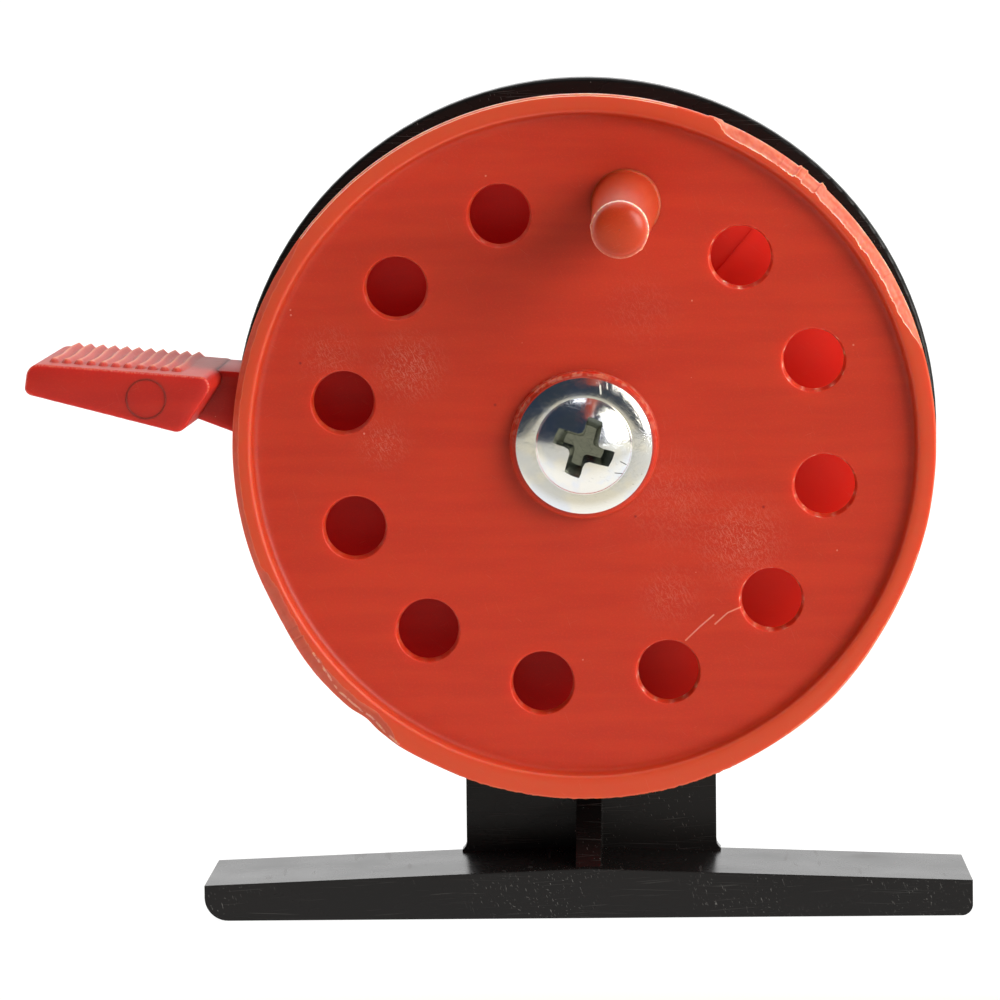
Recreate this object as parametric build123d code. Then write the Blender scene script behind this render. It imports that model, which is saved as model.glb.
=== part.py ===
from build123d import *
import math
import os

# Small single-action ice-fishing reel, millimetres.
# Origin: centre of the foot's underside, straight below the spool's axle.
# +X runs along the foot, +Y goes from the spool face to the back plate, +Z is up.

# ---- driving dimensions: frame ----
AXLE_Z = 34.1
FOOT_LENGTH = 54.9
FOOT_DEPTH = 12.4
FOOT_END_T = 2.54
FOOT_MID_T = 3.57
FOOT_END_DRAFT = 0.48
FOOT_LEFT_R = 1.7
FOOT_RIGHT_R = 0.8
PLATE_R = 25.3
PLATE_T = 1.5
PLATE_EDGE_R = 0.25
STEM_WIDTH = 18.1
STEM_OFFSET = 0.15
STEM_FLARE_R = 0.8
STEM_FLARE_PART = 0.4
STEM_OVERLAP = 8.0
FOOT_SINK = 0.6
GUSSET_T = 1.8
GUSSET_HEIGHT = 4.2
GUSSET_REACH = 10.2
HUB_BOSS_R = 4.6
HUB_BOSS_T = 0.8
BACK_BOSS_R = 6.2
BACK_BOSS_T = 1.7
NUT_FLOOR_T = 0.1
BACK_RIB_T = 1.2
BACK_RIB_H = 0.9
BACK_RIB_MARGIN = 1.5

# ---- driving dimensions: spool ----
FLANGE_R = 25.0
FLANGE_BACK_R = 24.75
WORN_ANGLE = 40.0
WORN_WIDTH = 0.85
WORN_OFFSET = 5.5
TRIMMED_ANGLE = 167.0
TRIMMED_WIDTH = 0.4
TRIMMED_OFFSET = 2.5
FLAT_ANGLE = 233.0
FLAT_DEPTH = 0.2
LIP_WIDTH = 1.2
SPOOL_DEPTH = 12.2
LIP_HEIGHT = 0.95
LIP_DRAFT = 0.3
EDGE_R = 0.12
WEB_T = 1.3
HOLE_RING_R = 17.36
HOLE_FRONT_R = 2.27
HOLE_BACK_R = 2.12
POSITIONS = 12
KNOB_ANGLE = 79.7
SPOOL_BOSS_R = 5.25
SPOOL_BOSS_T = 0.7
ARBOR_R = 12.5
ARBOR_WALL = 1.2
ARM_CLEARANCE = 0.7
LINE_HOLE_R = 0.6
LINE_HOLE_ANGLE = 40.0
LOCATING_DEPTH = 0.9
LOCATING_WALL = 1.1
LINE_SPACE = 5.4
HUB_TUBE_R = 5.0
REAR_FLANGE_R = 23.5
REAR_FLANGE_T = 1.2
REAR_RIB_W = 0.5
REAR_RIB_H = 0.2
REAR_RIB_START = 0.3
REAR_RIB_END = 1.0
DRUM_R = 10.0
DRUM_WALL = 1.4
DRUM_T = 2.6

# ---- driving dimensions: knob ----
KNOB_LENGTH = 22.5
KNOB_COLLAR_R = 2.5
KNOB_BASE_R = 2.35
KNOB_TIP_R = 1.99
KNOB_DOME_H = 0.95
KNOB_DOME_R = 1.91
KNOB_FOOT_FILLET = 0.35
KNOB_COLLAR_T = 0.12

# ---- driving dimensions: axle hardware ----
SCREW_R = 1.98
THREAD_PITCH = 0.7
THREAD_DEPTH = 0.32
SCREW_LENGTH = 16.0
THREADED_LENGTH = 7.0
TIP_CHAMFER = 0.5
WASHER_EDGE = 0.25
DOME_STEP = 0.1
WASHER_HEAD_R = 4.95
WASHER_HEAD_T = 0.8
DOME_R = 3.4
DOME_H = 1.2
RECESS_SPAN = 4.6
RECESS_ARM = 1.15
RECESS_DEPTH = 1.65
RECESS_TURN = 65.0
RECESS_FLARE = 1.12
RECESS_WAIST = 0.86
RECESS_SHOULDER = 0.38
RECESS_CORNER_R = 0.3
RECESS_TAPER = 14.0
SLEEVE_R = 3.0
SLEEVE_BORE_R = 2.1
NUT_FLATS = 7.0
NUT_T = 3.2
NUT_BORE_R = 2.02
NUT_CHAMFER = 0.35
THRUST_R = 4.5
THRUST_T = 0.3

# ---- driving dimensions: lever ----
PIVOT_X = -18.6
PIVOT_DZ = 3.4
PAD_FRONT_Y = -10.9
LEVER_BACK_Y = 4.37
ARM_FRONT_Y = -4.2
BLADE_FRONT_Y = 2.4
PAD_SKEW = 4.5
PAD_SLOPE = 4.9
PAD_FALL = 0.17
PAD_LEFT_X = -39.2
PAD_TOP_DZ = 6.51
PAD_END_HEIGHT = 2.14
PAD_END_LEAN = 0.3
PAD_RIGHT_X = -25.77
PAD_LOW_X = -28.42
PAD_LOW_DZ = 1.44
PAD_CORNER_R = (0.55, 0.9, 0.8, 0.75)
ARM_INNER_X = -23.4
ARM_OUTER_X = -28.6
ARM_TOP_DZ = 5.45
ARM_LOW_DZ = 1.63
ARM_TOP_FALL = 0.41
ARM_LOW_FALL = 1.10
BLADE_END_X = -25.6
BLADE_END_DZ = 2.95
BLADE_END_R = 1.95
RIDGES = 11
RIDGE_PITCH = 0.866
RIDGE_HEIGHT = 0.28
RIDGE_R = 0.33
FIRST_RIDGE_X = -37.67
RIDGE_FRONT_Y = -8.3
PIVOT_BOSS_R = 2.9
PIVOT_SEAT_R = 2.4
BRAKE_ROOT_R = 2.2
BRAKE_TIP_R = 1.3
BRAKE_SINK = 0.2
SHOE_GAP = 1.15
SHOE_T = 0.95
SHOE_FROM = 190.0
SHOE_TO = 214.0
PIN_R = 1.25
PIN_HEAD_R = 2.0
PIN_HEAD_T = 0.5
PIN_TAIL = 0.5
RETAINER_R = 2.6
RETAINER_T = 0.45
PEG_R = 1.0
PEG_X = -17.5
PEG_DZ = -5.6
PEG_CLEARANCE = 0.4
ANCHOR_X = -14.2
ANCHOR_DZ = -9.2
ANCHOR_R = 0.7
ANCHORED_X = -15.4
ANCHORED_DZ = -9.95
STOP_X = -22.3
STOP_DZ = 6.75
STOP_R = 0.8
WIRE_R = 0.25
SPRING_TURNS = 3
COIL_SLACK = 0.12
COIL_CLOSENESS = 0.94
COIL_LEAVES_AT = 240.0
SPRING_REST_X = -22.9
SPRING_REST_DZ = 0.6

# ---- clearances ----
RUNNING = 0.05
SNUG = 0.01
GAP = 0.05
LOOSE = 0.1

# ---- how far joined shapes run into each other ----
OVERLAP = 0.2
SINK = 0.1

# ---- places worked out from the dimensions above ----
PLATE_BACK = FOOT_DEPTH / 2
PLATE_FRONT = PLATE_BACK - PLATE_T
LIP_FRONT = PLATE_FRONT - SPOOL_DEPTH
FACE_Y = LIP_FRONT + LIP_HEIGHT
WEB_BACK = FACE_Y + WEB_T
REAR_FRONT = WEB_BACK + LINE_SPACE
REAR_BACK = REAR_FRONT + REAR_FLANGE_T
DRUM_BACK = REAR_BACK + DRUM_T
SEAT_Y = PLATE_FRONT - HUB_BOSS_T
BOSS_FRONT = FACE_Y - SPOOL_BOSS_T
HEAD_SEAT = BOSS_FRONT - GAP
THRUST_BACK = SEAT_Y - 2 * SNUG
HUB_BACK = THRUST_BACK - THRUST_T - GAP
PEG_FRONT = REAR_BACK + PEG_CLEARANCE
NUT_SEAT = PLATE_FRONT + NUT_FLOOR_T


def along_y(shape):
    """Turn a shape built along +Z so that it runs along +Y on the axle line."""
    return Pos(0, 0, AXLE_Z) * Rot(-90, 0, 0) * shape


def rod(radius, y0, y1, x=0.0, dz=0.0):
    """Cylinder parallel to the axle, from y0 back to y1."""
    return Pos(x, (y0 + y1) / 2, AXLE_Z + dz) * Rot(90, 0, 0) * Cylinder(radius, y1 - y0)


def cone(front_r, back_r, y0, y1, x=0.0, dz=0.0):
    """Cone parallel to the axle, from y0 back to y1."""
    middle = Pos(x, (y0 + y1) / 2, AXLE_Z + dz)
    return middle * Rot(-90, 0, 0) * Cone(front_r, back_r, y1 - y0)


def block(x0, x1, y0, y1, z0, z1):
    """Box between two opposite corners."""
    size = (x1 - x0, y1 - y0, z1 - z0)
    return Pos((x0 + x1) / 2, (y0 + y1) / 2, (z0 + z1) / 2) * Box(*size)


def turned(points):
    """Solid turned about the axle from (radius, y) points."""
    outline = Polyline(*[(r, y) for r, y in points], close=True)
    profile = Plane.XZ * make_face(outline)
    return along_y(revolve(profile, Axis.Z, 360))


def slab(outline, y0, y1):
    """Flat piece cut from an outline in X and height above the axle."""
    plane = Plane(origin=(0, y1, AXLE_Z), x_dir=(1, 0, 0), z_dir=(0, -1, 0))
    return extrude(plane * outline, y1 - y0)


def link(x0, z0, r0, x1, z1, r1):
    """Outline of a bar that wraps two round ends."""
    span = math.hypot(x1 - x0, z1 - z0)
    aim = math.atan2(z1 - z0, x1 - x0)
    lean = math.acos((r0 - r1) / span)
    corners = []
    for x, z, r, side in ((x0, z0, r0, 1), (x1, z1, r1, 1), (x1, z1, r1, -1), (x0, z0, r0, -1)):
        turn = aim + side * lean
        corners.append((x + r * math.cos(turn), z + r * math.sin(turn)))
    bar = make_face(Polyline(*corners, close=True))
    return bar + Pos(x0, z0) * Circle(r0) + Pos(x1, z1) * Circle(r1)


def sector(inner_r, outer_r, start, end):
    """Outline of a curved band about the axle between two angles in degrees."""
    start_out = (outer_r * math.cos(math.radians(start)), outer_r * math.sin(math.radians(start)))
    end_in = (inner_r * math.cos(math.radians(end)), inner_r * math.sin(math.radians(end)))
    outer = CenterArc((0, 0), outer_r, start, end - start)
    inner = CenterArc((0, 0), inner_r, start, end - start)
    sides = [Line(inner @ 0, start_out), Line(outer @ 1, end_in)]
    return make_face([outer, inner] + sides)


def foot():
    """Bar that goes in the rod's reel seat: flat below, roofed on top, ends drafted."""
    half = FOOT_LENGTH / 2
    outline = Polyline(
        (-half, 0), (half, 0), (half, FOOT_END_T), (0, FOOT_MID_T), (-half, FOOT_END_T), close=True)
    profile = Plane.XZ * make_face(outline)
    bar = Pos(0, FOOT_DEPTH / 2, 0) * extrude(profile, FOOT_DEPTH)
    lower_left = bar.edges().filter_by(Axis.Y).group_by(Axis.X)[0].sort_by(Axis.Z)[0]
    bar = fillet(lower_left, FOOT_LEFT_R)
    lower_right = bar.edges().filter_by(Axis.Y).group_by(Axis.X)[-1].sort_by(Axis.Z)[0]
    bar = fillet(lower_right, FOOT_RIGHT_R)
    for side in (-1, 1):
        front = (side * half, -FOOT_DEPTH / 2)
        back = (side * half, FOOT_DEPTH / 2)
        inset = (side * (half - FOOT_END_DRAFT), FOOT_DEPTH / 2)
        wedge = make_face(Polyline(front, back, inset, close=True))
        bar -= extrude(wedge, FOOT_MID_T + 1)
    return bar


def stem():
    """Web that carries the round plate, with a small flare where it lands on the foot."""
    half = STEM_WIDTH / 2
    top = AXLE_Z - PLATE_R + STEM_OVERLAP
    web = block(STEM_OFFSET - half, STEM_OFFSET + half, PLATE_FRONT, PLATE_BACK, FOOT_END_T - FOOT_SINK, top)
    for side in (-1, 1):
        edge_t = FOOT_MID_T - (FOOT_MID_T - FOOT_END_T) * half / (FOOT_LENGTH / 2)
        inner = STEM_OFFSET + side * half
        outer = inner + side * STEM_FLARE_R * STEM_FLARE_PART
        corner = block(
            min(inner, outer), max(inner, outer),
            PLATE_FRONT, PLATE_BACK, edge_t - FOOT_SINK / 2, edge_t + STEM_FLARE_R)
        scoop_x = inner + side * STEM_FLARE_R
        scoop = Pos(scoop_x, PLATE_FRONT, edge_t + STEM_FLARE_R) * Rot(90, 0, 0)
        web += corner - scoop * Cylinder(STEM_FLARE_R, 4 * PLATE_T)
    return web


def gusset():
    """Sloping rib in front of the stem."""
    foot_back = PLATE_FRONT + OVERLAP
    low = FOOT_END_T - FOOT_SINK
    reach = foot_back - GUSSET_REACH
    crest = FOOT_MID_T + GUSSET_HEIGHT
    outline = Polyline(
        (foot_back, low), (reach, low), (reach, FOOT_MID_T - SINK / 2),
        (PLATE_FRONT, crest), (foot_back, crest), close=True)
    profile = Plane.YZ * make_face(outline)
    return Pos(-GUSSET_T / 2, 0, 0) * extrude(profile, GUSSET_T)


def back_ribs():
    """Three ribs that brace the nut boss on the back of the plate."""
    ribs = None
    length = PLATE_R - BACK_RIB_MARGIN
    for angle in (-90, 30, 150):
        bar = Pos(length / 2, 0, 0) * Box(length, BACK_RIB_T, BACK_RIB_H + 2 * SINK)
        bar = Rot(0, 0, angle) * bar
        lift = PLATE_BACK + BACK_RIB_H / 2 - SINK
        turned_bar = Pos(0, lift, AXLE_Z) * Rot(90, 0, 0) * bar
        ribs = turned_bar if ribs is None else ribs + turned_bar
    return ribs


def frame():
    """One moulding: foot, stem, round plate, axle boss, nut pocket, pegs and stop."""
    plate = rod(PLATE_R, PLATE_FRONT, PLATE_BACK)
    plate = fillet(plate.edges(), PLATE_EDGE_R)
    body = plate + stem() + foot() + gusset()
    body += rod(HUB_BOSS_R, SEAT_Y, PLATE_FRONT + OVERLAP)
    body += back_ribs()
    body += rod(BACK_BOSS_R, PLATE_BACK - OVERLAP, PLATE_BACK + BACK_BOSS_T)
    body += rod(PEG_R, PEG_FRONT, PLATE_FRONT + OVERLAP, PEG_X, PEG_DZ)
    body += rod(ANCHOR_R, PEG_FRONT, PLATE_FRONT + OVERLAP, ANCHOR_X, ANCHOR_DZ)
    body += rod(STOP_R, PEG_FRONT, PLATE_FRONT + OVERLAP, STOP_X, STOP_DZ)
    body += rod(PIVOT_SEAT_R, LEVER_BACK_Y + GAP, PLATE_FRONT + OVERLAP, PIVOT_X, PIVOT_DZ)
    body -= rod(SCREW_R + LOOSE, SEAT_Y - 1, PLATE_BACK + BACK_BOSS_T + 1)
    body -= nut_prism(NUT_FLATS + LOOSE, NUT_SEAT, PLATE_BACK + BACK_BOSS_T + 1)
    body -= rod(PIN_R, 0, PLATE_BACK + 1, PIVOT_X, PIVOT_DZ)
    return body


def nut_prism(flats, y0, y1):
    """Hexagonal prism on the axle, flats facing up and down."""
    hexagon = RegularPolygon(flats / math.sqrt(3), 6, rotation=0)
    plane = Plane(origin=(0, y1, AXLE_Z), x_dir=(1, 0, 0), z_dir=(0, -1, 0))
    return extrude(plane * hexagon, y1 - y0)


def at_position(index):
    """X and height above the axle of one of the twelve places on the hole ring."""
    angle = math.radians(KNOB_ANGLE + index * 360 / POSITIONS)
    return HOLE_RING_R * math.cos(angle), HOLE_RING_R * math.sin(angle)


def rim_bevel(angle, width, offset):
    """Cutter for a crescent bevel on the lip's edge, widest in one direction."""
    front_r = FLANGE_R - width + offset
    x = -offset * math.cos(math.radians(angle))
    dz = -offset * math.sin(math.radians(angle))
    ring = rod(FLANGE_R + offset + 2, LIP_FRONT - 1, LIP_FRONT + width)
    return ring - cone(front_r - 1, front_r + width, LIP_FRONT - 1, LIP_FRONT + width, x, dz)


def rim_flat():
    """Cutter for the short flat where the moulding's gate was cut off the rim."""
    cut = Pos(FLANGE_R - FLAT_DEPTH + 2, 0, 0) * Box(4, FLANGE_R, 4 * WEB_T + 4)
    return Pos(0, FACE_Y, AXLE_Z) * Rot(90, 0, 0) * Rot(0, 0, FLAT_ANGLE) * cut


def spool_front():
    """Front flange with raised lip, holes, hub boss, arbor and hub tube."""
    lip_in = FLANGE_R - LIP_WIDTH
    disc = turned([
        (0, FACE_Y), (lip_in - LIP_DRAFT, FACE_Y), (lip_in, LIP_FRONT), (FLANGE_R - EDGE_R, LIP_FRONT),
        (FLANGE_R, LIP_FRONT + EDGE_R), (FLANGE_BACK_R, WEB_BACK), (0, WEB_BACK)])
    disc += turned([
        (0, BOSS_FRONT), (SPOOL_BOSS_R - EDGE_R, BOSS_FRONT), (SPOOL_BOSS_R, BOSS_FRONT + EDGE_R),
        (SPOOL_BOSS_R, FACE_Y + SINK), (0, FACE_Y + SINK)])
    disc -= rim_bevel(WORN_ANGLE, WORN_WIDTH, WORN_OFFSET)
    disc -= rim_bevel(TRIMMED_ANGLE, TRIMMED_WIDTH, TRIMMED_OFFSET)
    disc -= rim_flat()
    arbor = rod(ARBOR_R, WEB_BACK - SINK, REAR_FRONT)
    arbor -= rod(ARBOR_R - ARBOR_WALL, WEB_BACK, REAR_FRONT + 1)
    line_hole = Pos(0, WEB_BACK + LINE_SPACE / 2, AXLE_Z) * Rot(0, LINE_HOLE_ANGLE, 0)
    arbor -= line_hole * (Pos(0, 0, ARBOR_R) * Cylinder(LINE_HOLE_R, 4 * ARBOR_WALL))
    body = disc + arbor + rod(HUB_TUBE_R, WEB_BACK - SINK, HUB_BACK)
    body -= rod(SLEEVE_R + RUNNING, BOSS_FRONT - 1, HUB_BACK + 1)
    for index in range(POSITIONS):
        x, dz = at_position(index)
        body -= cone(HOLE_FRONT_R, HOLE_BACK_R, FACE_Y, WEB_BACK, x, dz)
    return body


def spool_rear():
    """Rear flange with its locating ring, brake drum and one radial rib."""
    ring_r = ARBOR_R - ARBOR_WALL - SNUG
    body = rod(REAR_FLANGE_R, REAR_FRONT, REAR_BACK)
    locating = rod(ring_r, REAR_FRONT - LOCATING_DEPTH, REAR_FRONT + SINK)
    body += locating - rod(ring_r - LOCATING_WALL, REAR_FRONT - 2, REAR_FRONT + 1)
    drum = rod(DRUM_R, REAR_BACK - SINK, DRUM_BACK)
    body += drum - rod(DRUM_R - DRUM_WALL, REAR_BACK, DRUM_BACK + 1)
    rib_from = ARBOR_R + REAR_RIB_START
    rib_length = REAR_FLANGE_R - REAR_RIB_END - rib_from
    rib = Pos(rib_from + rib_length / 2, 0, 0) * Box(rib_length, REAR_RIB_W, REAR_RIB_H + SINK)
    rib_y = REAR_FRONT - REAR_RIB_H / 2 + SINK / 2
    body += Pos(0, rib_y, AXLE_Z) * Rot(90, 0, 0) * Rot(0, 0, KNOB_ANGLE - 360 / POSITIONS) * rib
    body -= rod(HUB_TUBE_R + SNUG, REAR_FRONT - 2, DRUM_BACK + 1)
    return body


def dome(radius, height, base_y, front_y):
    """Rounded front of a turned part, from its rim at base_y to its tip at front_y."""
    ball = (radius ** 2 + height ** 2) / (2 * height)
    half = math.asin(radius / ball) / 2
    middle = (ball * math.sin(half), front_y + ball * (1 - math.cos(half)))
    return ThreePointArc((radius, base_y), middle, (0, front_y))


def turned_with_dome(points, radius, height):
    """Solid turned from (radius, y) points, closed at the front by a spherical dome."""
    base_y = points[-1][1]
    cap = dome(radius, height, base_y, base_y - height)
    axis = Line((0, base_y - height), points[0])
    outline = [Line(points[i], points[i + 1]) for i in range(len(points) - 1)]
    profile = Plane.XZ * make_face(outline + [cap, axis])
    return along_y(revolve(profile, Axis.Z, 360))


def handle_knob():
    """Tapered peg with a domed tip, its spigot pressed in the twelfth hole."""
    shoulder_y = FACE_Y - KNOB_LENGTH + KNOB_DOME_H
    foot_y = FACE_Y - KNOB_COLLAR_T
    points = [
        (0, WEB_BACK), (HOLE_BACK_R - SNUG, WEB_BACK), (HOLE_FRONT_R - SNUG, FACE_Y),
        (KNOB_COLLAR_R, FACE_Y), (KNOB_COLLAR_R, foot_y),
        (KNOB_BASE_R, foot_y - KNOB_FOOT_FILLET), (KNOB_TIP_R, shoulder_y), (KNOB_DOME_R, shoulder_y)]
    x, dz = at_position(0)
    return Pos(x, 0, dz) * turned_with_dome(points, KNOB_DOME_R, KNOB_DOME_H)


def recess():
    """Cross-shaped driver recess, arms flared at the tips and drafted to the bottom."""
    half = RECESS_SPAN / 2
    tip = RECESS_ARM / 2 * RECESS_FLARE
    waist = RECESS_ARM / 2 * RECESS_WAIST
    inner = RECESS_ARM / 2 + RECESS_SHOULDER
    cross = None
    for quarter in range(2):
        bar = make_face(Polyline(
            (-half, -tip), (-inner, -waist), (inner, -waist), (half, -tip),
            (half, tip), (inner, waist), (-inner, waist), (-half, tip), close=True))
        bar = Rot(0, 0, 90 * quarter) * bar
        cross = bar if cross is None else cross + bar
    near_middle = [v for v in cross.vertices() if math.hypot(v.X, v.Y) < inner]
    cross = fillet(near_middle, RECESS_CORNER_R)
    return Rot(0, 0, RECESS_TURN) * cross


def axle_screw():
    """Washer-head machine screw with a cross recess; threads are rings at true pitch."""
    washer_front = HEAD_SEAT - WASHER_HEAD_T
    head_top = washer_front - DOME_H
    head = turned_with_dome([
        (0, HEAD_SEAT), (WASHER_HEAD_R, HEAD_SEAT), (WASHER_HEAD_R, washer_front + WASHER_EDGE),
        (WASHER_HEAD_R - WASHER_EDGE, washer_front + DOME_STEP), (DOME_R + DOME_STEP, washer_front),
        (DOME_R, washer_front - DOME_STEP)], DOME_R, DOME_H - DOME_STEP)
    plane = Plane(origin=(0, head_top - SNUG, AXLE_Z), x_dir=(1, 0, 0), z_dir=(0, -1, 0))
    head -= extrude(plane * recess(), -RECESS_DEPTH, taper=RECESS_TAPER)
    tip = HEAD_SEAT + SCREW_LENGTH
    neck = tip - THREADED_LENGTH
    shank = [(0, HEAD_SEAT - SINK), (SCREW_R, HEAD_SEAT - SINK), (SCREW_R, neck)]
    rings = int((tip - neck - TIP_CHAMFER) / THREAD_PITCH)
    for ring in range(rings):
        crest = neck + ring * THREAD_PITCH
        shank.append((SCREW_R, crest + THREAD_PITCH * 0.2))
        shank.append((SCREW_R - THREAD_DEPTH, crest + THREAD_PITCH * 0.6))
        shank.append((SCREW_R, crest + THREAD_PITCH))
    shank += [(SCREW_R - TIP_CHAMFER, tip), (0, tip)]
    return head + turned(shank)


def axle_sleeve():
    """Steel tube clamped between the screw's head and the frame's boss."""
    tube = rod(SLEEVE_R, HEAD_SEAT, SEAT_Y)
    return tube - rod(SLEEVE_BORE_R, HEAD_SEAT - 1, SEAT_Y + 1)


def thrust_washer():
    """Thin washer round the sleeve, against the frame's boss."""
    ring = rod(THRUST_R, THRUST_BACK - THRUST_T, THRUST_BACK)
    return ring - rod(SLEEVE_R + RUNNING, THRUST_BACK - 1, THRUST_BACK + 1)


def axle_nut():
    """Hex nut with chamfered corners, seated in the pocket behind the plate."""
    back = NUT_SEAT + NUT_T
    corner_r = NUT_FLATS / math.sqrt(3)
    nut = nut_prism(NUT_FLATS, NUT_SEAT, back)
    limit = turned([
        (0, NUT_SEAT), (NUT_FLATS / 2, NUT_SEAT), (corner_r, NUT_SEAT + NUT_CHAMFER),
        (corner_r, back - NUT_CHAMFER), (NUT_FLATS / 2, back), (0, back)])
    nut = nut & limit
    return nut - rod(NUT_BORE_R, NUT_SEAT - 1, back + 1)


def pad_top(x):
    """Height above the axle of the pad's top at its front end."""
    return PAD_TOP_DZ - math.tan(math.radians(PAD_SLOPE)) * (x - PAD_LEFT_X)


def pad_outline():
    """Thumb pad seen from the front: sloping top and bottom, rounded corners."""
    low_left = (PAD_LEFT_X - PAD_END_LEAN, PAD_TOP_DZ - PAD_END_HEIGHT)
    top_left = (PAD_LEFT_X, PAD_TOP_DZ)
    top_right = (PAD_RIGHT_X, pad_top(PAD_RIGHT_X))
    low_right = (PAD_LOW_X, PAD_LOW_DZ)
    outline = make_face(Polyline(low_left, top_left, top_right, low_right, close=True))
    for corner, radius in zip((low_left, top_left, low_right, top_right), PAD_CORNER_R):
        nearest = outline.vertices().sort_by_distance((corner[0], corner[1], 0))[0]
        outline = fillet(nearest, radius)
    return outline


def thumb_pad():
    """Pad whose ends run aslant and whose top falls a little towards the back."""
    depth = LEVER_BACK_Y - PAD_FRONT_Y
    shift = depth * math.tan(math.radians(PAD_SKEW))
    outline = pad_outline()
    front = Plane(origin=(0, PAD_FRONT_Y, AXLE_Z), x_dir=(1, 0, 0), z_dir=(0, -1, 0))
    back = Plane(origin=(shift, LEVER_BACK_Y, AXLE_Z - PAD_FALL), x_dir=(1, 0, 0), z_dir=(0, -1, 0))
    return loft([front * outline, back * outline], ruled=True)


def ridge(index):
    """One half-round ridge along the pad's slant, with a round front end."""
    depth = LEVER_BACK_Y - PAD_FRONT_Y
    start = (RIDGE_FRONT_Y - PAD_FRONT_Y) / depth
    front_x = FIRST_RIDGE_X + index * RIDGE_PITCH
    slant = Vector(depth * math.tan(math.radians(PAD_SKEW)), depth, -PAD_FALL)
    corner = Vector(front_x, PAD_FRONT_Y, AXLE_Z + pad_top(front_x) + RIDGE_HEIGHT - RIDGE_R)
    path = Plane(origin=corner + slant * start, z_dir=slant)
    length = slant.length * (1 - start) + RIDGE_R
    bar = Cylinder(RIDGE_R, length, align=(Align.CENTER, Align.CENTER, Align.MIN))
    ridge_end = block(
        front_x - 1, front_x + 1 + slant.X, LEVER_BACK_Y, LEVER_BACK_Y + 1,
        corner.Z - 1, corner.Z + 1)
    return path * (bar + Sphere(RIDGE_R)) - ridge_end


def lever():
    """Thumb pad, thick arm outside the spool, thin blade and brake arm behind it."""
    arm = make_face(Polyline(
        (ARM_OUTER_X, ARM_TOP_DZ), (ARM_INNER_X, ARM_TOP_DZ - ARM_TOP_FALL),
        (ARM_INNER_X, ARM_LOW_DZ - ARM_LOW_FALL), (ARM_OUTER_X, ARM_LOW_DZ), close=True))
    arm -= Circle(REAR_FLANGE_R + ARM_CLEARANCE)
    blade = link(BLADE_END_X, BLADE_END_DZ, BLADE_END_R, PIVOT_X, PIVOT_DZ, PIVOT_BOSS_R)
    hold = math.radians((SHOE_FROM + SHOE_TO) / 2)
    seat_r = DRUM_R + SHOE_GAP + SHOE_T
    hold_r = seat_r + BRAKE_TIP_R - BRAKE_SINK
    tip = (hold_r * math.cos(hold), hold_r * math.sin(hold))
    blade += link(PIVOT_X, PIVOT_DZ, BRAKE_ROOT_R, tip[0], tip[1], BRAKE_TIP_R)
    blade += sector(seat_r, seat_r + BRAKE_TIP_R, SHOE_FROM, SHOE_TO)
    blade -= Circle(seat_r)
    body = thumb_pad() + slab(arm, ARM_FRONT_Y, LEVER_BACK_Y) + slab(blade, BLADE_FRONT_Y, LEVER_BACK_Y)
    for index in range(RIDGES):
        body += ridge(index)
    body -= rod(PIN_R + RUNNING, PAD_FRONT_Y, PLATE_BACK, PIVOT_X, PIVOT_DZ)
    return body


def brake_shoe():
    """Curved friction pad glued to the brake arm's seat."""
    inner = DRUM_R + SHOE_GAP
    band = sector(inner, inner + SHOE_T - SNUG, SHOE_FROM + 1, SHOE_TO - 1)
    return slab(band, BLADE_FRONT_Y, LEVER_BACK_Y - OVERLAP)


def lever_pivot_pin():
    """Headed pin through the lever, pressed in the plate."""
    head_back = BLADE_FRONT_Y - GAP
    head = rod(PIN_HEAD_R, head_back - PIN_HEAD_T, head_back, PIVOT_X, PIVOT_DZ)
    shank_end = PLATE_BACK + RETAINER_T + PIN_TAIL
    return head + rod(PIN_R, head_back - SINK, shank_end, PIVOT_X, PIVOT_DZ)


def pivot_retainer():
    """Push-on washer on the pin's tail behind the plate."""
    ring = rod(RETAINER_R, PLATE_BACK, PLATE_BACK + RETAINER_T, PIVOT_X, PIVOT_DZ)
    return ring - rod(PIN_R, PLATE_BACK - 1, PLATE_BACK + 2, PIVOT_X, PIVOT_DZ)


def wire(x0, z0, x1, z1, y):
    """Straight length of spring wire between two points beside the plate."""
    length = math.hypot(x1 - x0, z1 - z0)
    turn = math.degrees(math.atan2(x1 - x0, z1 - z0))
    middle = Pos((x0 + x1) / 2, y, AXLE_Z + (z0 + z1) / 2)
    return middle * Rot(0, turn, 0) * Cylinder(WIRE_R, length)


def lever_spring():
    """Wire torsion spring on its peg: one leg under the arm, one on the anchor."""
    coil_r = PEG_R + COIL_SLACK + WIRE_R
    back = PLATE_FRONT - LOOSE - WIRE_R
    pitch = 2 * WIRE_R * COIL_CLOSENESS
    body = None
    for turn in range(SPRING_TURNS):
        ring = Pos(PEG_X, back - turn * pitch, AXLE_Z + PEG_DZ) * Rot(90, 0, 0) * Torus(coil_r, WIRE_R)
        body = ring if body is None else body + ring
    arm_y = back - (SPRING_TURNS - 1) * pitch
    body += wire(PEG_X - coil_r, PEG_DZ, SPRING_REST_X, SPRING_REST_DZ, arm_y)
    leave = math.radians(COIL_LEAVES_AT)
    leave_x = PEG_X + coil_r * math.cos(leave)
    leave_dz = PEG_DZ + coil_r * math.sin(leave)
    body += wire(leave_x, leave_dz, ANCHORED_X, ANCHORED_DZ, back)
    return body


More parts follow.
